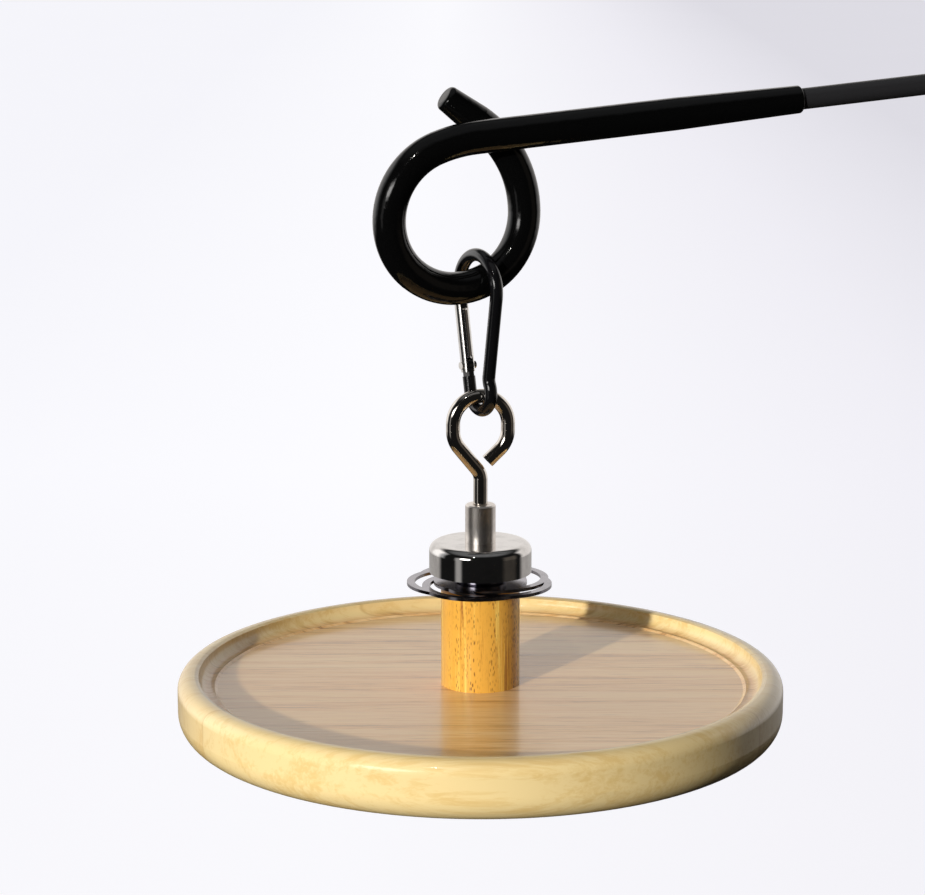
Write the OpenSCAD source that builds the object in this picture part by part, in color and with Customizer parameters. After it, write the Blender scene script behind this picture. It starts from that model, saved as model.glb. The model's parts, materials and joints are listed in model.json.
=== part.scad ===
// A round wooden tray that hangs from a sleeved hook arm by a snap hook, an eye bolt and a pot magnet.
// The origin is the centre of the rod's free end face. +X runs out along the arm, +Z is up.
// Every wire part is a bending program: rows of [straight length, roll, bend radius, bend angle].

/* [Arm] */
// Radius of the steel rod
rod_r = 3.3; // [3.0:0.1:3.6]
// Rise of the straight arm towards its free end, in degrees
arm_rise = 4.7; // [0:0.1:10]
// Straight length of the arm, from the free end to the first bend
arm_run = 172; // [150:1:220]
// Bare length of rod at the free end
bare_run = 66; // [40:1:90]

/* [Pigtail] */
// Radius of the first, gentle bend
lead_bend_r = 46; // [40:1:55]
// Angle of the first, gentle bend
lead_angle = 16; // [12:1:20]
// Radius of the loop's centre line
loop_r = 22.5; // [21.5:0.5:24]
// Radius of the loop's flatter base, where the snap hook hangs
base_bend_r = 24.6; // [22:0.1:27]
// Radius of the last bend, where the loop opens into the tail
tail_bend_r = 33; // [28:1:40]
// Angle of the last bend
tail_angle = 54; // [48:1:60]
// Roll of the rod before each bend, which moves the tail clear behind the arm
loop_roll = 5; // [4:0.5:7]
// Straight length of the tail
tail_run = 15; // [12:0.5:20]

/* [Sleeve] */
// Outer radius of the sleeve
sleeve_r = 5.05; // [4.9:0.05:5.2]
// Outer radius of the sleeve at its mouth
mouth_r = 4.35; // [4.2:0.05:4.8]
// Length over which the sleeve narrows towards its mouth
mouth_taper = 42; // [20:1:60]
// Outer radius of the sleeve at its closed end
tip_r = 4.1; // [4.0:0.05:4.7]

/* [Snap hook] */
// Radius of the snap hook's wire
snap_r = 2; // [1.9:0.05:2.05]
// Centre-line radius of the wide top arch
arch_r = 10.6; // [10.4:0.1:11]
// Centre-line radius of the bottom bend
foot_r = 5.9; // [5.8:0.1:6.2]
// Length of the straight spine
spine_run = 24.9; // [24.5:0.1:26]
// Inward lean of the spine, in degrees
spine_lean = 9.4; // [9:0.1:10]
// Turn of the snap hook about the plumb line, away from square to the arm
snap_turn = 14; // [5:1:16]

/* [Gate] */
// Outer radius of the gate tube
gate_r = 2.15; // [2.05:0.05:2.3]
// Bore radius of the gate tube
gate_bore_r = 1.65; // [1.5:0.05:1.7]
// Lean of the gate, in degrees
gate_lean = 11.7; // [11:0.1:12]
// Radius of the pivot pin
pivot_r = 0.75; // [0.6:0.05:0.8]
// Radius of the latch pin
latch_r = 0.6; // [0.5:0.05:0.7]

/* [Eye bolt] */
// Radius of the eye bolt's wire and shank
eye_wire_r = 2.2; // [2.0:0.05:2.3]
// Centre-line radius of the eye
eye_r = 8.6; // [8:0.1:9.5]
// Straight length of the eye's two flanks
flank_run = 2.2; // [1:0.1:3]
// Lean of the leg between the shank and the eye, in degrees
leg_lean = 39; // [35:1:42]
// Lean of the leg at the open end of the wire, in degrees
open_lean = 46; // [42:1:50]
// Length of the leg at the open end
open_leg = 5.3; // [4.5:0.1:6]
// Length of shank from the neck bend to the mouth of the threaded sleeve
shank_show = 8.1; // [7:0.1:12]
// Length of shank inside the threaded sleeve
shank_grip = 10; // [8:0.5:11]
// Turn of the eye about the plumb line
eye_turn = -9; // [-15:1:0]

/* [Magnet] */
// Radius of the threaded sleeve
boss_r = 4.75; // [4.5:0.05:5]
// Height of the threaded sleeve above the cup
boss_h = 11.9; // [11.5:0.1:14]
// Radius of the magnet's cup
cup_r = 16; // [15:0.5:17]
// Height of the cup
cup_h = 9.5; // [9:0.1:11]
// Radius of the cup's rounded shoulder
shoulder_r = 2.8; // [2:0.1:3]
// Wall thickness of the cup
cup_wall = 1.6; // [1.2:0.1:2]

/* [Plate] */
// Radius of the steel disc that the magnet grips
strike_r = 8; // [7.5:0.1:10]
// Thickness of that disc
strike_h = 3; // [2.5:0.1:3.5]
// Number of lobes on the ring plate
lobe_count = 5; // [5:1:6]
// Distance of each lobe's centre from the plate's centre
lobe_shift = 6; // [5.5:0.1:6.5]
// Outer radius of each lobe
lobe_r = 17; // [16.5:0.1:18]
// Width of the band round each lobe
lobe_band = 2.4; // [2:0.1:3]
// Thickness of the ring plate
plate_h = 1; // [0.8:0.1:1.2]
// Turn of the first lobe about the plumb line
lobe_turn = 25; // [0:1:72]

/* [Post] */
// Radius of the wooden post
post_r = 12.35; // [11:0.05:13]
// Height of the post
post_h = 32.2; // [30:0.1:36]

/* [Tray] */
// Outer radius of the tray
tray_r = 95; // [93:1:100]
// Thickness of the tray under its floor
tray_base = 14.6; // [13:0.1:16]
// Height of the rim above the floor
rim_h = 4.6; // [4.4:0.1:6]
// Inner radius of the rim
rim_inner_r = 88.4; // [84:0.1:89]
// Rounding of the rim's inner lip
lip_round = 1.4; // [1:0.1:1.6]
// Rounding of the rim's outer top edge
top_round = 4.6; // [4:0.1:5]
// Rounding of the tray's lower edge
under_round = 8; // [6:0.1:9]

/* [Screws] */
// Radius of both screws' shanks
screw_r = 2; // [1.8:0.1:2.2]
// Head radius of the screw that holds the plate
flat_head_r = 4; // [3.6:0.1:4.4]
// Head radius of the screw under the tray
pan_head_r = 4.2; // [4:0.1:4.6]
// Radius of the washer under the tray
washer_r = 6; // [5.5:0.1:7]

/* [Fits] */
// Radial clearance of a turning pin or shank
run_fit = 0.04; // [0.02:0.01:0.08]
// Radial clearance of a screw in its hole
hold_fit = 0.02; // [0.01:0.01:0.05]
// Gap between two links where they hang on each other
link_gap = 0.2; // [0.15:0.05:0.3]

/* [Hidden] */
$fn = 96;

// Small length that carries a cutting shape clear of the face it cuts
over = 1;

// ---- bending programs ----

// Half length of the collar over each seam, and how far it stands proud
seam_half = 0.1;
seam_proud = 0.02;

// Columns of a bending program's row
RUN = 0;
ROLL = 1;
RADIUS = 2;
ANGLE = 3;

function shift_matrix(v) = [
    [1, 0, 0, v.x],
    [0, 1, 0, v.y],
    [0, 0, 1, v.z],
    [0, 0, 0, 1]
];

function roll_matrix(a) = [
    [cos(a), -sin(a), 0, 0],
    [sin(a), cos(a), 0, 0],
    [0, 0, 1, 0],
    [0, 0, 0, 1]
];

// Frame at the end of a bend that starts along +Z and curls towards +X
function bend_matrix(r, a) = [
    [cos(a), 0, sin(a), r * (1 - cos(a))],
    [0, 1, 0, 0],
    [-sin(a), 0, cos(a), r * sin(a)],
    [0, 0, 0, 1]
];

// Frame after the straight length and the roll of one row, where its bend starts
function bend_start(row) = shift_matrix([0, 0, row[RUN]]) * roll_matrix(row[ROLL]);

function row_matrix(row) = bend_start(row) * bend_matrix(row[RADIUS], row[ANGLE]);

// Frame at the start of row i
function frame_at(rows, i, first) = i == 0 ? first : frame_at(rows, i - 1, first) * row_matrix(rows[i - 1]);

function place_of(m) = [m[0][3], m[1][3], m[2][3]];

function heading_of(m) = [m[0][2], m[1][2], m[2][2]];

// One straight stretch of round wire, hollow where r_in is above zero
module straight(length, r_out, r_in = 0) {
    if (length > 0) {
        rotate_extrude() translate([r_in, 0]) square([r_out - r_in, length]);
    }
}

// One bend of round wire, starting along +Z and curling towards +X
module bend(radius, angle, r_out, r_in = 0) {
    if (angle > 0) {
        translate([radius, 0, 0])
        rotate([90, 0, 0])
        rotate([0, 0, 180 - angle])
        rotate_extrude(angle = angle)
        translate([radius, 0])
        difference() {
            circle(r = r_out);
            if (r_in > 0) circle(r = r_in);
        }
    }
}

// A hair-thin collar over the seam between two stretches of wire, at the origin of a frame
module seam(r_out, r_in = 0) {
    inner = max(r_in - seam_proud, 0);
    translate([0, 0, -seam_half])
    straight(2 * seam_half, r_out + seam_proud, inner);
}

// A whole wire from its bending program; joined is true where another piece meets its first end
module wire(rows, first, r_out, r_in = 0, joined = false) {
    for (i = [0 : len(rows) - 1]) {
        row = rows[i];
        frame = frame_at(rows, i, first);
        multmatrix(frame) straight(row[RUN], r_out, r_in);
        multmatrix(frame * bend_start(row)) bend(row[RADIUS], row[ANGLE], r_out, r_in);
        if (row[RUN] > 0 && row[ANGLE] > 0) multmatrix(frame * bend_start(row)) seam(r_out, r_in);
        if (i > 0 || joined) multmatrix(frame) seam(r_out, r_in);
    }
}

// ---- the arm's line ----

// At the free end the rod points back along the arm, and curls downwards
arm_start = [
    [sin(arm_rise), 0, -cos(arm_rise), 0],
    [0, -1, 0, 0],
    [-cos(arm_rise), 0, -sin(arm_rise), 0],
    [0, 0, 0, 1]
];
loop_start = arm_start * shift_matrix([0, 0, arm_run]);

// Angles of the loop's four bends between the first bend and the last
down_angle = 60;
base_angle = 63;
up_angle = 65;

loop_rows = [
    [0, 0, lead_bend_r, lead_angle],
    [0, -loop_roll, loop_r, down_angle],
    [0, -loop_roll, loop_r, down_angle],
    [0, -loop_roll, base_bend_r, base_angle],
    [0, -loop_roll, loop_r, up_angle],
    [0, -loop_roll, tail_bend_r, tail_angle]
];
tail_start = frame_at(loop_rows, len(loop_rows), loop_start);

// Wall of the sleeve's closed end, and the rounding of its two ends
tip_wall = 2;
tip_round = 1.6;
mouth_round = 0.6;
// Length of tail at full thickness, before the sleeve narrows
tail_full = 2;
// The sleeve is clear of the rod by this much, so that the two solids stay apart
sleeve_fit = 0.05;
sleeve_bore = rod_r + sleeve_fit;

// The snap hook hangs a little way up the loop from its lowest point
hang_row = 3;
hang_angle = 57.5;
hang_frame = frame_at(loop_rows, hang_row, loop_start)
    * bend_start(loop_rows[hang_row])
    * bend_matrix(loop_rows[hang_row][RADIUS], hang_angle);
hang_point = place_of(hang_frame);
hang_slope = asin(heading_of(hang_frame).z);

// ---- levels on the plumb line, from the sleeve's centre line at the hang point ----

// The arch is turned and the sleeve slopes, so it rides a little above their two radii
arch_lift = 0.6;
arch_top = (sleeve_r + snap_r + link_gap) / cos(hang_slope) + arch_lift;
arch_z = arch_top - arch_r;

// ---- the snap hook's line ----

kink_r = 4;
kink_out = 28;
tongue_run = 5.2;
tab_run = 8.4;
// The two flattened ends: their thickness, and the radius of the one round the pivot
tab_t = 1.8;
tab_r = 2.3;
// Length of each flattened end, measured past its pin
tab_flat = 3.4;
tongue_flat = 2.7;
// How far the nose reaches past the latch pin
nose_past = 1.7;

// In the snap hook's own frame +X points from the gate to the spine, and Y is square to its plane
nose_frame = shift_matrix([-arch_r * cos(gate_lean), 0, arch_z - arch_r * sin(gate_lean)])
    * bend_matrix(0, -gate_lean)
    * shift_matrix([0, 0, -tongue_run]);
foot_turn = 360 - gate_lean - (180 - kink_out);
snap_rows = [
    [tongue_run, 0, arch_r, 180 + spine_lean + gate_lean],
    [spine_run, 180, kink_r, spine_lean + kink_out],
    [0, 180, foot_r, foot_turn],
    [tab_run, 0, 0, 0]
];
foot_start = frame_at(snap_rows, 2, nose_frame) * roll_matrix(180);
// The lowest point of the foot is where its heading is level
foot_middle = foot_start * bend_matrix(foot_r, 90 + kink_out);
pivot_point = place_of(frame_at(snap_rows, 4, nose_frame));
latch_point = place_of(nose_frame * shift_matrix([0, 0, nose_past]));
gate_reach = norm(latch_point - pivot_point);
gate_tilt = atan2(latch_point.x - pivot_point.x, latch_point.z - pivot_point.z);

// ---- levels of what hangs from it ----

neck_r = 4.65;
leg_run = (eye_r * cos(leg_lean) - neck_r * (1 - cos(leg_lean))) / sin(leg_lean);
eye_rise = neck_r * sin(leg_lean) + leg_run * cos(leg_lean) + eye_r * sin(leg_lean) + flank_run;

eye_top_z = place_of(foot_middle).z + snap_r + eye_wire_r + link_gap;
eye_z = eye_top_z - eye_r;
boss_top_z = eye_z - eye_rise - shank_show;
cup_top_z = boss_top_z - boss_h;
cup_bottom_z = cup_top_z - cup_h;
plate_top_z = cup_bottom_z - strike_h;
post_top_z = plate_top_z - plate_h;
floor_z = post_top_z - post_h;
under_z = floor_z - tray_base;

// Moves what is drawn about the plumb line down to a level on it
module plumb(z) translate(hang_point + [0, 0, z]) children();

// ---- arm ----

module hook_rod() color("dimgray") {
    multmatrix(arm_start) rod_stock(arm_run);
    wire(loop_rows, loop_start, rod_r, 0, true);
    multmatrix(tail_start) {
        seam(rod_r);
        straight(tail_run - tip_wall, rod_r);
    }
}

// Straight rod with a chamfered first end, and a ring rolled into it just inside the sleeve's mouth
module rod_stock(length) {
    chamfer = 0.4;
    ring_long = 3;
    ring_deep = 0.25;
    rotate_extrude()
    polygon([
        [0, 0],
        [rod_r - chamfer, 0],
        [rod_r, chamfer],
        [rod_r, bare_run],
        [rod_r - ring_deep, bare_run + ring_deep],
        [rod_r - ring_deep, bare_run + ring_long - ring_deep],
        [rod_r, bare_run + ring_long],
        [rod_r, length],
        [0, length]
    ]);
}

module hook_sleeve() color("black") {
    multmatrix(arm_start * shift_matrix([0, 0, bare_run])) sleeve_mouth(arm_run - bare_run);
    wire(loop_rows, loop_start, sleeve_r, sleeve_bore, true);
    multmatrix(tail_start) {
        seam(sleeve_r, sleeve_bore);
        sleeve_tip();
    }
}

// The sleeve's straight stretch, which widens from its rounded mouth
module sleeve_mouth(length) {
    rotate_extrude() {
        polygon([
            [sleeve_bore, 0],
            [mouth_r - mouth_round, 0],
            [mouth_r, mouth_round],
            [sleeve_r, mouth_taper],
            [sleeve_r, length],
            [sleeve_bore, length]
        ]);
        translate([mouth_r - mouth_round, mouth_round]) circle(r = mouth_round);
    }
}

// The sleeve's closed end over the rod's tail
module sleeve_tip() {
    difference() {
        rotate_extrude() {
            polygon([
                [0, 0],
                [sleeve_r, 0],
                [sleeve_r, tail_full],
                [tip_r, tail_run - tip_round],
                [tip_r - tip_round, tail_run],
                [0, tail_run]
            ]);
            translate([tip_r - tip_round, tail_run - tip_round]) circle(r = tip_round);
        }
        translate([0, 0, -over]) cylinder(h = tail_run - tip_wall + over, r = sleeve_bore);
    }
}

// ---- snap hook ----

// Places what is drawn in the snap hook's own frame
module snap_place() {
    plumb(0) rotate([0, 0, snap_turn - 90]) translate([-place_of(foot_middle).x, 0, 0]) children();
}

// Places what is drawn about the gate's pivot, with +Z up the gate
module gate_place() {
    snap_place() translate(pivot_point) rotate([0, gate_tilt, 0]) children();
}

// Two slabs that pare a round wire down to a flat end of tab_t, from z = 0 up
module pare(length) {
    for (side = [-1, 1]) {
        translate([0, side * (tab_t / 2 + snap_r), length / 2])
        cube([4 * snap_r, 2 * snap_r, length], center = true);
    }
}

// A pin of length 2 * half across the snap hook's plane
module cross_pin(r, half) {
    rotate([90, 0, 0]) cylinder(h = 2 * half, r = r, center = true);
}

module carabiner_body() color("black")
snap_place()
difference() {
    union() {
        wire(snap_rows, nose_frame, snap_r);
        translate(pivot_point) cross_pin(tab_r, tab_t / 2);
    }
    multmatrix(frame_at(snap_rows, 3, nose_frame)) translate([0, 0, tab_run - tab_flat]) pare(2 * tab_flat);
    multmatrix(nose_frame * shift_matrix([0, 0, nose_past + tongue_flat])) mirror([0, 0, 1]) pare(2 * tab_flat);
    translate(pivot_point) cross_pin(pivot_r + hold_fit, snap_r);
    translate(latch_point) rotate([0, gate_tilt, 0]) latch_notch();
}

// The latch pin's seat in the nose, open towards the spine
module latch_notch() {
    seat_r = latch_r + link_gap / 2;
    cross_pin(seat_r, snap_r);
    translate([snap_r, 0, 0]) cube([2 * snap_r, 2 * snap_r, 2 * seat_r], center = true);
}

// Radius and thickness of the pivot pin's riveted heads, and their gap from the gate's sides
rivet_r = 1.2;
rivet_h = 0.4;
rivet_gap = 0.05;

module gate_pivot_pin() color("silver")
gate_place() {
    cross_pin(pivot_r, gate_r + rivet_h);
    for (side = [-1, 1]) {
        translate([0, side * (gate_r + rivet_gap + rivet_h / 2), 0]) cross_pin(rivet_r, rivet_h / 2);
    }
}

// Clear height of the gate's slots above the pivot and below the latch pin
pivot_slot = 2.8;
latch_slot = 2.3;
gate_past = 2.1;

module carabiner_gate() color("silver")
gate_place()
difference() {
    translate([0, 0, -gate_past]) cylinder(h = gate_reach + 2 * gate_past, r = gate_r);
    translate([0, 0, pivot_slot - over]) {
        cylinder(h = gate_reach - pivot_slot - latch_slot + 2 * over, r = gate_bore_r);
    }
    gate_slot(-gate_past - over, pivot_slot);
    gate_slot(gate_reach - latch_slot, gate_reach + gate_past + over);
    cross_pin(pivot_r + run_fit, gate_r + over);
    translate([0, 0, gate_reach]) cross_pin(latch_r + hold_fit, gate_r + over);
}

// A slot right through the gate for one of the body's flattened ends
module gate_slot(z_low, z_high) {
    slot = tab_t + link_gap;
    translate([0, 0, (z_low + z_high) / 2]) cube([4 * gate_r, slot, z_high - z_low], center = true);
}

module gate_latch_pin() color("silver")
gate_place() translate([0, 0, gate_reach]) cross_pin(latch_r, gate_r);

// The plunger's stem and head, and the spring that bears on them
plunger_r = 1.5;
plunger_h = 1.4;
stem_r = 0.7;
stem_h = 4;
spring_wire_r = 0.22;
spring_coil_r = 1.2;
spring_turns = 9;
spring_steps = 12;
spring_sides = 6;

module gate_plunger() color("gray")
gate_place() translate([0, 0, tab_r + link_gap]) {
    cylinder(h = plunger_h, r = plunger_r);
    cylinder(h = plunger_h + stem_h, r = stem_r);
}

spring_low = tab_r + link_gap + plunger_h + spring_wire_r;
spring_high = gate_reach - latch_slot - spring_wire_r;

// Point number j round the wire at step i along the coil
function spring_point(i, j) = let (
    turn = 360 * i / spring_steps,
    side = 360 * j / spring_sides,
    r = spring_coil_r + spring_wire_r * cos(side),
    rise = (spring_high - spring_low) * i / (spring_turns * spring_steps)
) [r * cos(turn), r * sin(turn), spring_low + rise + spring_wire_r * sin(side)];

module gate_spring() color("gray") {
    rings = spring_turns * spring_steps;
    n = spring_sides;
    gate_place() polyhedron(
        points = [for (i = [0 : rings], j = [0 : n - 1]) spring_point(i, j)],
        faces = concat(
            [[for (j = [0 : n - 1]) j]],
            [for (i = [0 : rings - 1], j = [0 : n - 1])
                [i * n + j, (i + 1) * n + j, (i + 1) * n + (j + 1) % n, i * n + (j + 1) % n]],
            [[for (j = [n - 1 : -1 : 0]) rings * n + j]]
        )
    );
}

// ---- eye bolt ----

eye_rows = [
    [shank_grip + shank_show, 180, neck_r, leg_lean],
    [leg_run, 180, eye_r, leg_lean],
    [flank_run, 0, eye_r, 180],
    [flank_run, 0, eye_r, open_lean],
    [open_leg, 0, 0, 0]
];

module eye_bolt() color("silver")
plumb(boss_top_z - shank_grip) rotate([0, 0, eye_turn]) wire(eye_rows, shift_matrix([0, 0, 0]), eye_wire_r);

// ---- pot magnet ----

// The spigot under the threaded sleeve, and the cup's top that it sits in
spigot_r = 3.4;
cup_top = 2;
boss_edge = 0.4;
mouth_cone = 0.7;
magnet_r = 12.4;
// How far the filler lies back from the magnet's face
filler_back = 0.3;

module threaded_sleeve() color("silver")
plumb(cup_top_z)
difference() {
    rotate_extrude()
    polygon([
        [0, -cup_top],
        [spigot_r, -cup_top],
        [spigot_r, 0],
        [boss_r, 0],
        [boss_r, boss_h - boss_edge],
        [boss_r - boss_edge, boss_h],
        [0, boss_h]
    ]);
    translate([0, 0, boss_h - shank_grip - over]) cylinder(h = shank_grip + 2 * over, r = eye_wire_r + run_fit);
    translate([0, 0, boss_h - mouth_cone]) {
        cylinder(h = mouth_cone + over, r1 = eye_wire_r, r2 = eye_wire_r + mouth_cone + over);
    }
}

module magnet_cup() color("silver")
plumb(cup_bottom_z)
rotate_extrude()
difference() {
    union() {
        translate([spigot_r + hold_fit, 0]) square([cup_r - shoulder_r - spigot_r - hold_fit, cup_h]);
        translate([spigot_r + hold_fit, 0]) square([cup_r - spigot_r - hold_fit, cup_h - shoulder_r]);
        translate([cup_r - shoulder_r, cup_h - shoulder_r]) circle(r = shoulder_r);
    }
    translate([0, -over]) square([cup_r - cup_wall, cup_h - cup_top + over]);
}

module magnet_disc() color("dimgray")
plumb(cup_bottom_z) cylinder(h = cup_h - cup_top, r = magnet_r);

module magnet_filler() color("ivory")
plumb(cup_bottom_z)
rotate_extrude()
translate([magnet_r, filler_back]) square([cup_r - cup_wall - magnet_r, cup_h - cup_top - filler_back]);

// ---- strike disc and ring plate ----

disc_edge = 0.5;
// Depth of the flat-headed screw's cone
flat_head_h = flat_head_r - screw_r;

module strike_disc() color("gray")
plumb(plate_top_z)
difference() {
    rotate_extrude()
    polygon([
        [0, 0],
        [strike_r - disc_edge, 0],
        [strike_r, disc_edge],
        [strike_r, strike_h - disc_edge],
        [strike_r - disc_edge, strike_h],
        [0, strike_h]
    ]);
    translate([0, 0, -over]) cylinder(h = strike_h + 2 * over, r = screw_r + hold_fit);
    translate([0, 0, strike_h - flat_head_h - hold_fit]) {
        cylinder(h = flat_head_h + over, r1 = screw_r, r2 = flat_head_r + over);
    }
}

lobe_step = 360 / lobe_count;
lobe_inner_r = lobe_r - lobe_band;
hub_r = lobe_inner_r;

// One lobe's full disc, at the plate's rim
module lobe_disc(i, r) rotate([0, 0, lobe_turn + i * lobe_step]) translate([lobe_shift, 0]) circle(r = r);

// Each opening lies inside its own lobe, outside the hub and outside the next lobe round
module ring_plate() color("gray")
plumb(post_top_z)
linear_extrude(height = plate_h)
difference() {
    for (i = [0 : lobe_count - 1]) lobe_disc(i, lobe_r);
    for (i = [0 : lobe_count - 1]) {
        difference() {
            lobe_disc(i, lobe_inner_r);
            lobe_disc(i + 1, lobe_r);
            circle(r = hub_r);
        }
    }
    circle(r = screw_r + hold_fit);
}

// ---- post and its screws ----

plate_bite = 15;
tray_bite = 12;
// Length of a screw's point, and its blunt end's radius
screw_tip = 1.5;
point_r = 0.5;
// The driver's cross in a screw head
recess_depth = 1.4;
recess_long = 3.4;
recess_wide = 0.8;

// A screw's shank with a pointed end, its head end at the origin and its point along +Z
module screw_shank(length) {
    cylinder(h = length - screw_tip, r = screw_r);
    translate([0, 0, length - screw_tip]) cylinder(h = screw_tip, r1 = screw_r, r2 = point_r);
}

module plate_screw() color("silver")
plumb(plate_top_z + strike_h) mirror([0, 0, 1])
difference() {
    union() {
        cylinder(h = flat_head_h, r1 = flat_head_r, r2 = screw_r);
        screw_shank(strike_h + plate_h + plate_bite);
    }
    cross_recess();
}

module cross_recess() {
    for (turn = [0, 90]) {
        rotate([0, 0, turn])
        translate([0, 0, (recess_depth - over) / 2])
        cube([recess_long, recess_wide, recess_depth + over], center = true);
    }
}

module post() color("goldenrod")
plumb(floor_z)
difference() {
    cylinder(h = post_h, r = post_r);
    translate([0, 0, post_h - plate_bite - over]) cylinder(h = plate_bite + 2 * over, r = screw_r + hold_fit);
    translate([0, 0, -over]) cylinder(h = tray_bite + 2 * over, r = screw_r + hold_fit);
}

// ---- tray ----

well_r = 7.5;
well_h = 4.4;
washer_h = 1;
pan_head_h = 2.6;
cove_r = rim_h - lip_round;
// The pan head is a slice of a ball of this radius, which meets the washer inside the head's rim
pan_ball_r = 4.4;
pan_rise = 1;

module tray() color("burlywood")
plumb(floor_z)
difference() {
    rotate_extrude() tray_section();
    translate([0, 0, -tray_base - over]) cylinder(h = tray_base + 2 * over, r = screw_r + hold_fit);
    translate([0, 0, -tray_base - over]) cylinder(h = well_h + over, r = well_r);
}

// Half of the tray's section: a flat floor, a cove up to a rounded lip, and a rounded rim and edge
module tray_section() {
    difference() {
        union() {
            translate([0, -tray_base]) square([tray_r - under_round, tray_base]);
            translate([0, under_round - tray_base]) square([tray_r, rim_h - top_round + tray_base - under_round]);
            translate([tray_r - under_round, under_round - tray_base]) circle(r = under_round);
            translate([rim_inner_r - cove_r, 0]) square([tray_r - top_round - rim_inner_r + cove_r, rim_h - lip_round]);
            translate([rim_inner_r + lip_round, 0]) square([tray_r - top_round - rim_inner_r - lip_round, rim_h]);
            translate([tray_r - top_round, rim_h - top_round]) circle(r = top_round);
        }
        translate([rim_inner_r - cove_r, cove_r]) circle(r = cove_r);
        translate([0, cove_r]) square([rim_inner_r, rim_h]);
    }
    translate([rim_inner_r + lip_round, rim_h - lip_round]) circle(r = lip_round);
}

module tray_washer() color("silver")
plumb(under_z + well_h - washer_h)
difference() {
    cylinder(h = washer_h, r = washer_r);
    translate([0, 0, -over]) cylinder(h = washer_h + 2 * over, r = screw_r + hold_fit);
}

module tray_screw() color("silver")
plumb(under_z + well_h - washer_h - pan_head_h)
difference() {
    union() {
        rotate_extrude()
        intersection() {
            square([pan_head_r, pan_head_h]);
            translate([0, pan_head_h + pan_rise]) circle(r = pan_ball_r);
        }
        translate([0, 0, pan_head_h - over]) screw_shank(over + washer_h + tray_base - well_h + tray_bite);
    }
    cross_recess();
}

hook_rod();
hook_sleeve();
carabiner_body();
gate_pivot_pin();
carabiner_gate();
gate_latch_pin();
gate_spring();
gate_plunger();
eye_bolt();
threaded_sleeve();
magnet_cup();
magnet_disc();
magnet_filler();
strike_disc();
ring_plate();
plate_screw();
post();
tray();
tray_screw();
tray_washer();
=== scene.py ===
"""A round wooden tray hung from a sleeved hook arm by a snap hook, an eye bolt and a pot magnet."""

import json
import logging
import math
from dataclasses import dataclass
from enum import Enum

import bpy
from mathutils import Matrix, Vector


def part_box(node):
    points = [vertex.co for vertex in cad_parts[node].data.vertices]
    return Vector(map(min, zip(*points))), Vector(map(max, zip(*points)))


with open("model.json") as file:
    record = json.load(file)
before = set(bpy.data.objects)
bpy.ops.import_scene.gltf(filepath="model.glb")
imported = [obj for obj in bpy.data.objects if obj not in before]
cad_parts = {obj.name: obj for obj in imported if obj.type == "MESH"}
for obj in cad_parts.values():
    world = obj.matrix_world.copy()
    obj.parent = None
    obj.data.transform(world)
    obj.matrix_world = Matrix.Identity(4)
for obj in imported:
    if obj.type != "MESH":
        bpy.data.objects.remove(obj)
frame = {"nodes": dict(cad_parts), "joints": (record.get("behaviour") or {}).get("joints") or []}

LOG = logging.getLogger("hanging_tray")

Colour = tuple[float, float, float]
Socket = bpy.types.NodeSocket
Node = bpy.types.Node


class Axis(Enum):
    """Directions that a grain or a tool mark can run in."""

    X = 0
    Y = 1
    Z = 2


# ---- node graphs ----


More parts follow.
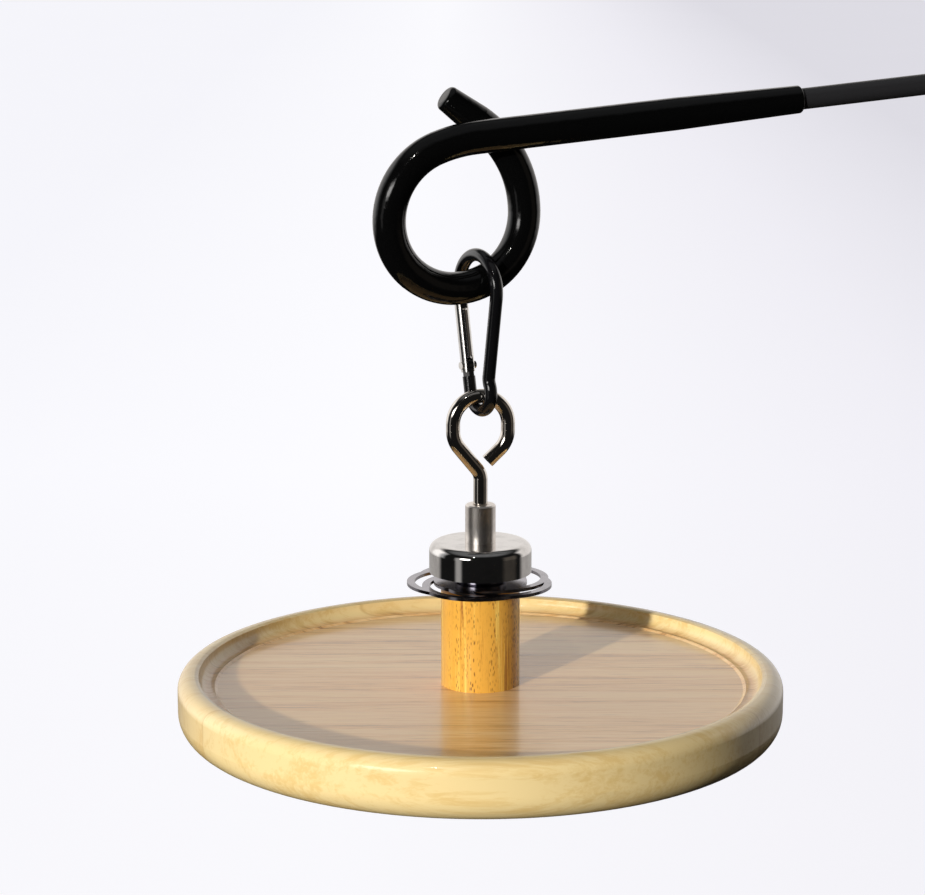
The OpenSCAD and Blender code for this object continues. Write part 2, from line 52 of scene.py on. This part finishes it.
class NodeGraph:
    """A node tree, with short calls for the nodes that finishes and surroundings share."""

    def __init__(self, tree: bpy.types.NodeTree) -> None:
        """Clears a tree and keeps it."""
        self.tree = tree
        self.tree.nodes.clear()

    def node(self, kind: str, operation: str | None = None) -> Node:
        """Adds a node, and sets its operation where it has one."""
        node = self.tree.nodes.new(kind)
        if operation:
            node.operation = operation
        return node

    def link(self, output: Socket, socket: Socket) -> None:
        """Links an output to a socket."""
        self.tree.links.new(output, socket)

    def plug(self, value: Socket | float | Vector, socket: Socket) -> None:
        """Links an output to a socket, or sets the socket to a plain value."""
        if isinstance(value, bpy.types.NodeSocket):
            self.link(value, socket)
        else:
            socket.default_value = value

    def math(self, operation: str, first: Socket, second: Socket | float = 0.0) -> Socket:
        """One step of arithmetic on a value and a value or a number."""
        node = self.node("ShaderNodeMath", operation)
        self.link(first, node.inputs[0])
        self.plug(second, node.inputs[1])
        return node.outputs[0]

    def vector(self, operation: str, first: Socket, second: Socket | Vector | None = None) -> Socket:
        """One step of vector arithmetic; its result is a value for a dot product or a length."""
        node = self.node("ShaderNodeVectorMath", operation)
        self.link(first, node.inputs[0])
        if second is not None:
            self.plug(second, node.inputs[1])
        return node.outputs["Value" if operation in ("DOT_PRODUCT", "LENGTH") else "Vector"]

    def part_of(self, vector: Socket, axis: Axis) -> Socket:
        """One component of a vector."""
        node = self.node("ShaderNodeSeparateXYZ")
        self.link(vector, node.inputs[0])
        return node.outputs[axis.value]

    def spread(self, value: Socket, low: float, high: float, to_low: float = 0.0, to_high: float = 1.0,
               shape: str = "LINEAR") -> Socket:
        """Maps a range of a value to another range, clamped.

        Args:
            value: the value read.
            low: start of its range.
            high: end of its range.
            to_low: result at the start.
            to_high: result at the end.
            shape: how the result runs between the two.

        Returns:
            The mapped output.
        """
        node = self.node("ShaderNodeMapRange")
        node.interpolation_type = shape
        limits = {"From Min": low, "From Max": high, "To Min": to_low, "To Max": to_high}
        for key, number in limits.items():
            node.inputs[key].default_value = number
        self.link(value, node.inputs["Value"])
        return node.outputs["Result"]

    def ramp(self, value: Socket, stops: list[tuple[float, Colour]]) -> Socket:
        """A colour ramp.

        Args:
            value: the value read.
            stops: positions and colours, in order.

        Returns:
            The colour output.
        """
        node = self.node("ShaderNodeValToRGB")
        elements = node.color_ramp.elements
        while len(elements) < len(stops):
            elements.new(0.5)
        for element, (position, colour) in zip(elements, stops):
            element.position = position
            element.color = (*colour, 1.0)
        self.link(value, node.inputs["Fac"])
        return node.outputs["Color"]

    def mix(self, factor: Socket, first: Socket | Colour, second: Socket | Colour,
            kind: str = "MIX") -> Socket:
        """Mixes two colours.

        Args:
            factor: share of the second.
            first: a colour or an output.
            second: a colour or an output.
            kind: the blend type.

        Returns:
            The colour output.
        """
        node = self.node("ShaderNodeMix")
        node.data_type = "RGBA"
        node.blend_type = kind
        share, colour_a, colour_b = node.inputs[0], node.inputs[6], node.inputs[7]
        self.link(factor, share)
        for socket, value in ((colour_a, first), (colour_b, second)):
            self.plug((*value, 1.0) if isinstance(value, tuple) else value, socket)
        return node.outputs[2]


class NodeSheet(NodeGraph):
    """A material's node graph round one principled shader."""

    def __init__(self, name: str) -> None:
        """Starts a material.

        Args:
            name: the material's name.
        """
        self.material = bpy.data.materials.new(name)
        self.material.use_nodes = True
        super().__init__(self.material.node_tree)
        self.shader = self.node("ShaderNodeBsdfPrincipled")
        output = self.node("ShaderNodeOutputMaterial")
        self.link(self.shader.outputs["BSDF"], output.inputs["Surface"])
        self.place = self.node("ShaderNodeTexCoord").outputs["Object"]

    def fixed(self, **values: float) -> None:
        """Sets constant values on the shader's own sockets.

        Args:
            values: socket names with spaces written as underscores, and their values.
        """
        for key, value in values.items():
            self.shader.inputs[key.replace("_", " ")].default_value = value

    def feed(self, socket: str, output: Socket) -> None:
        """Links an output to one of the shader's sockets."""
        self.link(output, self.shader.inputs[socket])

    def shifted(self, centre: Vector, turn: float = 0.0, stretch: Colour = (1.0, 1.0, 1.0)) -> Socket:
        """Object coordinates about a centre, turned about the plumb line and stretched.

        Args:
            centre: the point that becomes the origin, in metres.
            turn: angle about +Z in radians.
            stretch: scale on each axis.

        Returns:
            The vector output.
        """
        mapping = self.node("ShaderNodeMapping")
        mapping.inputs["Rotation"].default_value = (0.0, 0.0, turn)
        self.link(self.vector("SUBTRACT", self.place, centre), mapping.inputs["Vector"])
        return self.vector("MULTIPLY", mapping.outputs["Vector"], Vector(stretch))

    def noise(self, vector: Socket, scale: float, detail: float = 4.0, rough: float = 0.5,
              warp: float = 0.0) -> Socket:
        """Noise of a given scale.

        Args:
            vector: where the noise is read.
            scale: its frequency.
            detail: octaves.
            rough: how strong the fine octaves are.
            warp: distortion.

        Returns:
            The factor output.
        """
        node = self.node("ShaderNodeTexNoise")
        settings = {"Scale": scale, "Detail": detail, "Roughness": rough, "Distortion": warp}
        for key, number in settings.items():
            node.inputs[key].default_value = number
        self.link(vector, node.inputs["Vector"])
        return node.outputs["Fac"]

    def cells(self, vector: Socket, scale: float) -> Socket:
        """Distance to the nearest scattered point, for pores and specks."""
        node = self.node("ShaderNodeTexVoronoi")
        node.inputs["Scale"].default_value = scale
        self.link(vector, node.inputs["Vector"])
        return node.outputs["Distance"]

    def bump(self, height: Socket, strength: float, depth: float) -> None:
        """Feeds the shader's normal from a height.

        Args:
            height: the height read.
            strength: share of the bump that shows.
            depth: its height in metres.
        """
        node = self.node("ShaderNodeBump")
        node.inputs["Strength"].default_value = strength
        node.inputs["Distance"].default_value = depth
        self.link(height, node.inputs["Height"])
        self.feed("Normal", node.outputs["Normal"])


# ---- finishes ----


@dataclass(frozen=True)
class DippedRubber:
    """Thick black dipped rubber with a wet gloss and a faint sag in its skin."""

    name: str = "sleeve_rubber"
    shade: float = 0.0012
    gloss: float = 0.07
    sag: float = 260.0

    def make(self) -> bpy.types.Material:
        """Builds the material."""
        sheet = NodeSheet(self.name)
        place = sheet.shifted(Vector())
        wave = sheet.noise(place, self.sag, 2.0, 0.4)
        dust = sheet.noise(place, 2600.0, 3.0, 0.7)
        tone = sheet.spread(dust, 0.42, 0.78, self.shade, self.shade * 2.2)
        sheet.feed("Base Color", sheet.ramp(tone, [(0.0, (0.0, 0.0, 0.0)), (1.0, (0.95, 0.97, 1.0))]))
        sheet.feed("Roughness", sheet.spread(wave, 0.3, 0.7, self.gloss, self.gloss + 0.06))
        sheet.fixed(IOR=1.5, Specular_IOR_Level=0.4)
        sheet.bump(wave, 0.35, 0.00035)
        return sheet.material


@dataclass(frozen=True)
class Paint:
    """Black paint on steel, from satin to gloss, with orange peel and rubbed specks."""

    name: str
    colour: Colour
    gloss: float
    peel: float
    coat: float

    def make(self) -> bpy.types.Material:
        """Builds the material."""
        sheet = NodeSheet(self.name)
        place = sheet.shifted(Vector())
        peel = sheet.noise(place, self.peel, 2.0, 0.5)
        wear = sheet.noise(place, 420.0, 6.0, 0.7)
        rubbed = sheet.spread(wear, 0.66, 0.8)
        bright = tuple(min(1.0, part * 3.0 + 0.01) for part in self.colour)
        sheet.feed("Base Color", sheet.mix(rubbed, self.colour, bright))
        sheet.feed("Roughness", sheet.spread(wear, 0.3, 0.75, self.gloss, self.gloss + 0.09))
        sheet.fixed(IOR=1.5, Coat_Weight=self.coat, Coat_Roughness=0.05)
        sheet.bump(peel, 0.3, 0.00008)
        return sheet.material


@dataclass(frozen=True)
class Plating:
    """Bright plating, with drawn or turned marks along one axis and a little haze."""

    name: str
    colour: Colour
    gloss: float
    marks: Axis = Axis.Z
    marks_scale: float = 900.0
    marks_depth: float = 0.00001
    haze: float = 0.08

    def make(self) -> bpy.types.Material:
        """Builds the material."""
        sheet = NodeSheet(self.name)
        stretch = [0.04, 0.04, 0.04]
        stretch[self.marks.value] = 1.0
        marked = sheet.shifted(Vector(), 0.0, tuple(stretch))
        lines = sheet.noise(marked, self.marks_scale, 3.0, 0.6)
        cloud = sheet.noise(sheet.shifted(Vector()), 190.0, 5.0, 0.6)
        dull = tuple(part * 0.78 for part in self.colour)
        sheet.feed("Base Color", sheet.mix(sheet.spread(cloud, 0.45, 0.75), self.colour, dull))
        blur = sheet.math("MULTIPLY", sheet.spread(lines, 0.3, 0.7), sheet.spread(cloud, 0.3, 0.75, 0.4, 1.0))
        sheet.feed("Roughness", sheet.spread(blur, 0.0, 1.0, self.gloss, self.gloss + self.haze))
        sheet.fixed(Metallic=1.0)
        sheet.bump(lines, 0.5, self.marks_depth)
        return sheet.material


@dataclass(frozen=True)
class Cast:
    """A dull cast or ground body, such as a ferrite magnet or its resin."""

    name: str
    dark: Colour
    light: Colour
    gloss: float
    grain: float

    def make(self) -> bpy.types.Material:
        """Builds the material."""
        sheet = NodeSheet(self.name)
        place = sheet.shifted(Vector())
        grain = sheet.noise(place, self.grain, 8.0, 0.7)
        sheet.feed("Base Color", sheet.ramp(grain, [(0.3, self.dark), (0.7, self.light)]))
        sheet.feed("Roughness", sheet.spread(grain, 0.3, 0.7, self.gloss, self.gloss + 0.2))
        sheet.bump(grain, 0.4, 0.00004)
        return sheet.material


@dataclass(frozen=True)
class PostWood:
    """Oiled golden hardwood with upright stripes and short dark pores."""

    centre: Vector
    name: str = "post_teak"
    light: Colour = (0.78, 0.55, 0.13)
    mid: Colour = (0.64, 0.33, 0.05)
    dark: Colour = (0.3, 0.1, 0.018)
    blush: Colour = (0.74, 0.46, 0.24)
    pore: Colour = (0.1, 0.028, 0.008)

    def make(self) -> bpy.types.Material:
        """Builds the material."""
        sheet = NodeSheet(self.name)
        along = sheet.shifted(self.centre, 0.0, (1.0, 1.0, 0.03))
        bands = sheet.noise(along, 150.0, 4.0, 0.6, 0.9)
        lines = sheet.noise(along, 1300.0, 5.0, 0.7, 0.3)
        streak = sheet.noise(along, 420.0, 3.0, 0.6)
        broad = sheet.spread(bands, 0.3, 0.7, 0.0, 0.62)
        fine = sheet.spread(lines, 0.36, 0.64, 0.0, 0.38)
        stops = [(0.0, self.dark), (0.2, self.mid), (0.5, self.mid), (0.74, self.light), (1.0, self.light)]
        body = sheet.ramp(sheet.math("ADD", broad, fine), stops)
        body = sheet.mix(sheet.spread(streak, 0.63, 0.7, 0.0, 0.7), body, self.blush)
        body = sheet.mix(sheet.spread(streak, 0.33, 0.38, 0.75, 0.0), body, self.dark)
        dashes = sheet.cells(sheet.shifted(self.centre, 0.3, (1.0, 1.0, 0.26)), 1900.0)
        patch = sheet.spread(sheet.noise(along, 130.0, 3.0, 0.6), 0.4, 0.55, 0.12, 1.0)
        holes = sheet.math("MULTIPLY", sheet.spread(dashes, 0.2, 0.4, 0.95, 0.0), patch)
        sheet.feed("Base Color", sheet.mix(holes, body, self.pore))
        sheet.feed("Roughness", sheet.spread(lines, 0.3, 0.7, 0.26, 0.42))
        sheet.fixed(IOR=1.48, Coat_Weight=0.35, Coat_Roughness=0.16)
        sheet.bump(sheet.math("SUBTRACT", lines, holes), 0.3, 0.00006)
        return sheet.material


@dataclass(frozen=True)
class TrayWood:
    """Pale lacquered wood glued up from staves, with fine straight grain."""

    centre: Vector
    name: str = "tray_rubberwood"
    grain_turn: float = math.radians(18.0)
    stave: float = 0.062
    first_seam: float = 0.0453
    grain: Colour = (0.045, 1.0, 0.6)
    floor_radius: float = 0.0866
    floor_blend: float = 0.001
    light: Colour = (0.76, 0.6, 0.3)
    mid: Colour = (0.69, 0.5, 0.21)
    dark: Colour = (0.5, 0.3, 0.11)
    floor_light: Colour = (0.86, 0.6, 0.3)
    floor_mid: Colour = (0.76, 0.45, 0.18)
    floor_dark: Colour = (0.34, 0.17, 0.07)
    stave_tint: Colour = (0.9, 0.8, 0.68)

    def make(self) -> bpy.types.Material:
        """Builds the material."""
        sheet = NodeSheet(self.name)
        flat = sheet.shifted(self.centre, self.grain_turn)
        across = sheet.part_of(flat, Axis.Y)
        count = sheet.math("DIVIDE", sheet.math("ADD", across, self.first_seam), self.stave)
        index = sheet.math("FLOOR", count)
        number = sheet.node("ShaderNodeTexWhiteNoise")
        number.noise_dimensions = "1D"
        sheet.link(index, number.inputs["W"])
        moved = sheet.vector("ADD", flat, number.outputs["Color"])
        place = sheet.vector("MULTIPLY", moved, Vector(self.grain))
        bands = sheet.noise(place, 120.0, 4.0, 0.6, 1.2)
        lines = sheet.noise(place, 900.0, 5.0, 0.7, 0.4)
        flecks = sheet.cells(place, 1300.0)
        broad = sheet.spread(bands, 0.34, 0.66, 0.0, 0.55)
        fine = sheet.spread(lines, 0.38, 0.62, 0.0, 0.45)
        tone = sheet.math("ADD", broad, fine)
        rim = sheet.ramp(tone, [(0.0, self.mid), (0.2, self.mid), (0.6, self.light), (1.0, self.light)])
        lit, shade = self.floor_light, self.floor_dark
        base = sheet.ramp(tone, [(0.0, shade), (0.3, self.floor_mid), (0.7, lit), (1.0, lit)])
        specks = sheet.spread(flecks, 0.12, 0.3, 0.8, 0.0)
        base = sheet.mix(sheet.math("MULTIPLY", specks, sheet.spread(lines, 0.44, 0.62)), base, shade)
        radius = sheet.vector("LENGTH", sheet.shifted(self.centre, 0.0, (1.0, 1.0, 0.0)))
        inner, outer = self.floor_radius - self.floor_blend, self.floor_radius + self.floor_blend
        edge = sheet.spread(radius, inner, outer)
        body = sheet.mix(edge, base, rim)
        tint = sheet.spread(number.outputs["Value"], 0.0, 1.0, 0.0, 0.6)
        body = sheet.mix(tint, body, self.stave_tint, "MULTIPLY")
        seam = sheet.math("ABSOLUTE", sheet.math("SUBTRACT", sheet.math("FRACT", count), 0.5))
        line = sheet.spread(seam, 0.492, 0.499)
        body = sheet.mix(sheet.math("MULTIPLY", line, 0.45), body, self.dark)
        sheet.feed("Base Color", body)
        sheet.feed("Roughness", sheet.spread(lines, 0.3, 0.7, 0.3, 0.46))
        sheet.fixed(IOR=1.5, Coat_Weight=0.65, Coat_Roughness=0.14)
        sheet.bump(lines, 0.25, 0.00005)
        return sheet.material


# ---- sub-assemblies ----


def dress(node: str, material: bpy.types.Material) -> None:
    """Gives a CAD node its material and reports it.

    Args:
        node: the node's name.
        material: the finished material.
    """
    mesh = frame["nodes"][node].data
    mesh.materials.clear()
    mesh.materials.append(material)
    LOG.info("dressed %s in %s", node, material.name)


def plumb_centre(node: str) -> Vector:
    """The middle of a node's box, which lies on the plumb line for a turned part."""
    low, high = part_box(node)
    return (low + high) / 2.0


@dataclass
class HookArm:
    """The steel rod and the rubber sleeve over its pigtail."""

    rod_gloss: float = 0.32

    def build(self) -> None:
        """Dresses the rod and its sleeve."""
        dress("hook_rod", Paint("rod_steel", (0.018, 0.018, 0.02), self.rod_gloss, 1400.0, 0.0).make())
        dress("hook_sleeve", DippedRubber().make())


@dataclass
class SnapHook:
    """The painted snap hook with its plated gate, pins, spring and plunger."""

    body_gloss: float = 0.05

    def build(self) -> None:
        """Dresses the hook's body and the gate's pieces."""
        black = Paint("snap_black", (0.003, 0.003, 0.0035), self.body_gloss, 1700.0, 0.3)
        dress("carabiner_body", black.make())
        nickel = Plating("gate_nickel", (0.78, 0.76, 0.73), 0.1, Axis.Z, 700.0, 0.000006, 0.1).make()
        for node in ("gate_pivot_pin", "carabiner_gate", "gate_latch_pin"):
            dress(node, nickel)
        wire = Plating("spring_steel", (0.5, 0.5, 0.52), 0.25, Axis.Z, 1500.0, 0.00001, 0.15).make()
        for node in ("gate_spring", "gate_plunger"):
            dress(node, wire)


@dataclass
class EyeBolt:
    """The bent eye bolt."""

    gloss: float = 0.07

    def build(self) -> None:
        """Dresses the eye bolt."""
        nickel = Plating("eye_nickel", (0.72, 0.67, 0.61), self.gloss, Axis.Z, 500.0, 0.000008, 0.07)
        dress("eye_bolt", nickel.make())


@dataclass
class PotMagnet:
    """The pot magnet: threaded sleeve, cup, magnet and filler."""

    boss_gloss: float = 0.3
    cup_gloss: float = 0.05

    def build(self) -> None:
        """Dresses the magnet's four pieces."""
        turned = Plating("boss_nickel", (0.86, 0.81, 0.76), self.boss_gloss, Axis.Z, 2600.0, 0.00003, 0.16)
        mirror = Plating("cup_nickel", (0.68, 0.66, 0.64), self.cup_gloss, Axis.Z, 600.0, 0.000004, 0.05)
        ferrite = Cast("magnet_ferrite", (0.035, 0.035, 0.038), (0.08, 0.08, 0.085), 0.4, 1800.0)
        resin = Cast("filler_resin", (0.42, 0.37, 0.29), (0.55, 0.5, 0.42), 0.5, 900.0)
        finishes = {"threaded_sleeve": turned, "magnet_cup": mirror, "magnet_disc": ferrite,
                    "magnet_filler": resin}
        for node, finish in finishes.items():
            dress(node, finish.make())


@dataclass
class StrikePlate:
    """The steel disc and the lobed ring plate that its screw holds to the post."""

    gloss: float = 0.12

    def build(self) -> None:
        """Dresses the disc and the plate."""
        steel = Plating("plate_steel", (0.31, 0.3, 0.335), self.gloss, Axis.X, 420.0, 0.000006, 0.1).make()
        for node in ("strike_disc", "ring_plate"):
            dress(node, steel)


@dataclass
class Fixings:
    """The zinc-plated screws and the washer."""

    gloss: float = 0.3

    def build(self) -> None:
        """Dresses the screws and the washer."""
        zinc = Plating("screw_zinc", (0.62, 0.62, 0.64), self.gloss, Axis.Z, 1200.0, 0.00001, 0.12).make()
        for node in ("plate_screw", "tray_screw", "tray_washer"):
            dress(node, zinc)


@dataclass
class WoodenTray:
    """The turned post and the round tray."""

    def build(self) -> None:
        """Dresses the post and the tray."""
        dress("post", PostWood(plumb_centre("post")).make())
        dress("tray", TrayWood(plumb_centre("tray")).make())


# ---- camera and studio ----


@dataclass
class Viewpoint:
    """The camera: it looks along the tray from slightly above, turned a little off the arm."""

    turn: float = math.radians(18.0)
    pitch: float = math.radians(11.8)
    distance: float = 0.88
    drop: float = 0.0517
    aside: float = 0.00558
    lens: float = 110.53
    sensor: float = 36.0

    def axes(self) -> tuple[Vector, Vector, Vector]:
        """The camera's right, forward and up directions."""
        right = Vector((math.cos(self.turn), -math.sin(self.turn), 0.0))
        level = Vector((math.sin(self.turn), math.cos(self.turn), 0.0))
        ahead = level * math.cos(self.pitch) - Vector((0.0, 0.0, math.sin(self.pitch)))
        return right, ahead, right.cross(ahead)

    def build(self, hang: Vector) -> bpy.types.Object:
        """Makes the camera and sets it as the scene's camera.

        Args:
            hang: the point where the snap hook hangs on the sleeve.

        Returns:
            The camera.
        """
        right, ahead, up = self.axes()
        target = hang - Vector((0.0, 0.0, self.drop))
        data = bpy.data.cameras.new("camera")
        data.sensor_width = self.sensor
        data.lens = self.lens
        data.clip_start = 0.01
        data.clip_end = 100.0
        camera = bpy.data.objects.new("camera", data)
        turned = Matrix((right, up, -ahead)).transposed().to_4x4()
        camera.matrix_world = Matrix.Translation(target - ahead * self.distance - right * self.aside) @ turned
        bpy.context.scene.collection.objects.link(camera)
        bpy.context.scene.camera = camera
        LOG.info("camera set")
        return camera


@dataclass(frozen=True)
class Glow:
    """A soft patch of light in the surroundings, with its angles in degrees from the camera's side."""

    turn: float
    rise: float
    half_turn: float
    half_rise: float
    soft: float
    strength: float
    colour: Colour


@dataclass(frozen=True)
class Lamp:
    """A round lamp: its angle to the left of the camera and above the level, its size and its power."""

    name: str
    turn: float
    height: float
    size: float
    power: float


@dataclass
class Studio:
    """A pale floor far under the tray, a hard key light at the front left, and a white backdrop behind."""

    floor_gap: float = 0.45
    floor_radius: float = 40.0
    floor_sides: int = 96
    lamp_distance: float = 3.0
    lamp_colour: Colour = (1.0, 0.97, 0.92)
    key: Lamp = Lamp("key", 33.0, 11.5, 0.085, 112.0)
    fill: Lamp = Lamp("fill", 19.0, 45.0, 0.065, 5.0)
    ambient: float = 0.01
    paper: Colour = (0.87, 0.865, 0.91)
    glows: tuple[Glow, ...] = (
        Glow(180.0, 12.0, 76.0, 26.0, 16.0, 0.96, (1.0, 0.962, 0.935)),
        Glow(-112.0, 16.0, 22.0, 22.0, 14.0, 0.5, (0.97, 0.98, 1.0)),
        Glow(0.0, 78.0, 180.0, 26.0, 22.0, 0.16, (0.95, 0.97, 1.0)),
        Glow(-35.0, 12.0, 10.0, 6.0, 9.0, 9.0, (1.0, 0.98, 0.96)),
        Glow(-51.0, 0.0, 7.0, 20.0, 9.0, 0.4, (1.0, 0.98, 0.96)),
        Glow(70.0, 4.0, 16.0, 18.0, 14.0, 0.09, (1.0, 0.85, 0.7)),
    )

    def build(self, view: Viewpoint, centre: Vector, base: float) -> None:
        """Makes the floor, the lights and the surroundings.

        Args:
            view: the camera's directions.
            centre: the middle of the tray.
            base: height of the tray's underside.
        """
        self.floor(view, centre, base - self.floor_gap)
        key = self.lamp(self.key, view, centre)
        key.visible_glossy = False
        self.lamp(self.fill, view, centre)
        self.surroundings(view)
        bpy.context.scene.view_settings.view_transform = "Standard"
        LOG.info("built the studio")

    def floor(self, view: Viewpoint, centre: Vector, level: float) -> None:
        """Makes the floor as a wide disc of white paper.

        Args:
            view: the camera's directions.
            centre: the middle of the tray.
            level: height of the floor.
        """
        sides = self.floor_sides
        rim = [(math.cos(math.tau * i / sides), math.sin(math.tau * i / sides), 0.0) for i in range(sides)]
        points = [Vector(point) * self.floor_radius for point in [(0.0, 0.0, 0.0)] + rim]
        faces = [(0, i + 1, (i + 1) % sides + 1) for i in range(sides)]
        mesh = bpy.data.meshes.new("floor")
        mesh.from_pydata(points, [], faces)
        mesh.materials.append(self.paper_with_painted_falloff(view))
        floor = bpy.data.objects.new("floor", mesh)
        floor.location = (centre.x, centre.y, level)
        floor.visible_diffuse = False
        floor.visible_glossy = False
        bpy.context.scene.collection.objects.link(floor)

    @staticmethod
    def paper_with_painted_falloff(view: Viewpoint) -> bpy.types.Material:
        """White paper with painted light falloff: brightest at the left, as if lit from there, with painted
        shade making it greyer at the right and on the floor closer to the tray and the camera.

        Args:
            view: the camera's directions.

        Returns:
            The material.
        """
        right, ahead, _ = view.axes()
        sheet = NodeSheet("paper")
        mottle = sheet.noise(sheet.shifted(Vector()), 1.1, 3.0)
        sheet.feed("Base Color", sheet.ramp(mottle, [(0.3, (0.2, 0.2, 0.203)), (0.7, (0.21, 0.21, 0.214))]))
        # Painted light: the paper's emission is brightest at the left, as if lit from that side, and greyer
        # towards the right.
        side = sheet.spread(sheet.vector("DOT_PRODUCT", sheet.place, right), -0.8, 1.2)
        white, pale, grey, far = (0.9, 0.9, 0.95), (0.95, 0.95, 0.985), (0.84, 0.83, 0.89), (0.7, 0.69, 0.75)
        tone = sheet.ramp(side, [(0.0, white), (0.35, pale), (0.7, grey), (1.0, far)])
        # Painted shade: the floor closer to the tray and the camera, at the foot of the view, is mixed
        # towards grey.
        painted_shade_near = sheet.spread(sheet.vector("DOT_PRODUCT", sheet.place, ahead), 0.9, 2.4, 0.35, 0.0)
        sheet.feed("Emission Color", sheet.mix(painted_shade_near, tone, (0.78, 0.77, 0.81)))
        sheet.fixed(Roughness=0.9, Specular_IOR_Level=0.0, Emission_Strength=0.95)
        return sheet.material

    def lamp(self, lamp: Lamp, view: Viewpoint, centre: Vector) -> bpy.types.Object:
        """Makes one round lamp aimed at the tray.

        Args:
            lamp: its place, size and power.
            view: the camera's directions.
            centre: what the lamp is aimed at.

        Returns:
            The lamp's object.
        """
        heading, height = view.turn + math.radians(lamp.turn), math.radians(lamp.height)
        level = Vector((math.sin(heading), math.cos(heading), 0.0))
        towards = level * math.cos(height) - Vector((0.0, 0.0, math.sin(height)))
        data = bpy.data.lights.new(lamp.name, "AREA")
        data.shape = "DISK"
        data.size = lamp.size
        data.energy = lamp.power
        data.color = self.lamp_colour
        light = bpy.data.objects.new(lamp.name, data)
        light.location = centre - towards * self.lamp_distance
        light.rotation_euler = towards.to_track_quat("-Z", "Y").to_euler()
        bpy.context.scene.collection.objects.link(light)
        return light

    def surroundings(self, view: Viewpoint) -> None:
        """Makes the world: a dark room with soft patches of light round the object."""
        world = bpy.data.worlds.new("studio")
        world.use_nodes = True
        graph = NodeGraph(world.node_tree)
        look = graph.node("ShaderNodeTexCoord").outputs["Generated"]
        rise = graph.math("ARCSINE", graph.part_of(look, Axis.Z))
        total = None
        for glow in self.glows:
            patch = self.patch(graph, view, look, rise, glow)
            total = graph.vector("ADD", total, patch) if total else patch
        room = graph.node("ShaderNodeBackground")
        graph.link(graph.vector("ADD", total, Vector((self.ambient,) * 3)), room.inputs["Color"])
        paper = graph.node("ShaderNodeBackground")
        paper.inputs["Color"].default_value = (*self.paper, 1.0)
        blend = graph.node("ShaderNodeMixShader")
        seen = graph.node("ShaderNodeLightPath").outputs["Is Camera Ray"]
        for socket, output in zip(blend.inputs, (seen, room.outputs[0], paper.outputs[0])):
            graph.link(output, socket)
        graph.link(blend.outputs[0], graph.node("ShaderNodeOutputWorld").inputs["Surface"])
        bpy.context.scene.world = world

    def patch(self, graph: NodeGraph, view: Viewpoint, look: Socket, rise: Socket, glow: Glow) -> Socket:
        """Adds one soft patch to the world.

        Args:
            graph: the world's graph.
            view: the camera's directions.
            look: the direction looked in.
            rise: its angle above the level, in radians.
            glow: the patch.

        Returns:
            The patch's colour output.
        """
        heading = math.radians(glow.turn) - view.turn
        aim = Vector((math.sin(heading), -math.cos(heading), 0.0))
        level = graph.vector("NORMALIZE", graph.vector("MULTIPLY", look, Vector((1.0, 1.0, 0.0))))
        aside = graph.math("ARCCOSINE", graph.vector("DOT_PRODUCT", level, aim))
        above = graph.math("ABSOLUTE", graph.math("SUBTRACT", rise, math.radians(glow.rise)))
        wide = self.edge(graph, aside, glow.half_turn, glow.soft)
        tall = self.edge(graph, above, glow.half_rise, glow.soft)
        share = graph.math("MULTIPLY", wide, tall)
        colour = graph.node("ShaderNodeVectorMath", "SCALE")
        colour.inputs[0].default_value = Vector(glow.colour) * glow.strength
        graph.link(share, colour.inputs["Scale"])
        return colour.outputs[0]

    @staticmethod
    def edge(graph: NodeGraph, angle: Socket, half: float, soft: float) -> Socket:
        """Falls smoothly from one to nothing across a patch's edge.

        Args:
            graph: the world's graph.
            angle: angle from the middle of the patch, in radians.
            half: half the patch's size, in degrees.
            soft: width of its edge, in degrees.

        Returns:
            The share of the patch's light.
        """
        inner, outer = math.radians(half - soft / 2.0), math.radians(half + soft / 2.0)
        return graph.spread(angle, inner, outer, 1.0, 0.0, "SMOOTHSTEP")


def hang_point() -> Vector:
    """The point where the snap hook hangs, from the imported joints."""
    joint = next(j for j in frame["joints"] if j["name"] == "carabiner_swing")
    return Vector(joint["pos_m"])


def main() -> None:
    """Builds the scene in order: camera, studio, then each sub-assembly."""
    logging.basicConfig(level=logging.INFO, format="%(message)s")
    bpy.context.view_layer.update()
    view = Viewpoint()
    view.build(hang_point())
    low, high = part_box("tray")
    Studio().build(view, (low + high) / 2.0, low.z)
    for part in (HookArm(), SnapHook(), EyeBolt(), PotMagnet(), StrikePlate(), Fixings(), WoodenTray()):
        part.build()
        LOG.info("built %s", type(part).__name__)


if __name__ == "__main__":
    main()
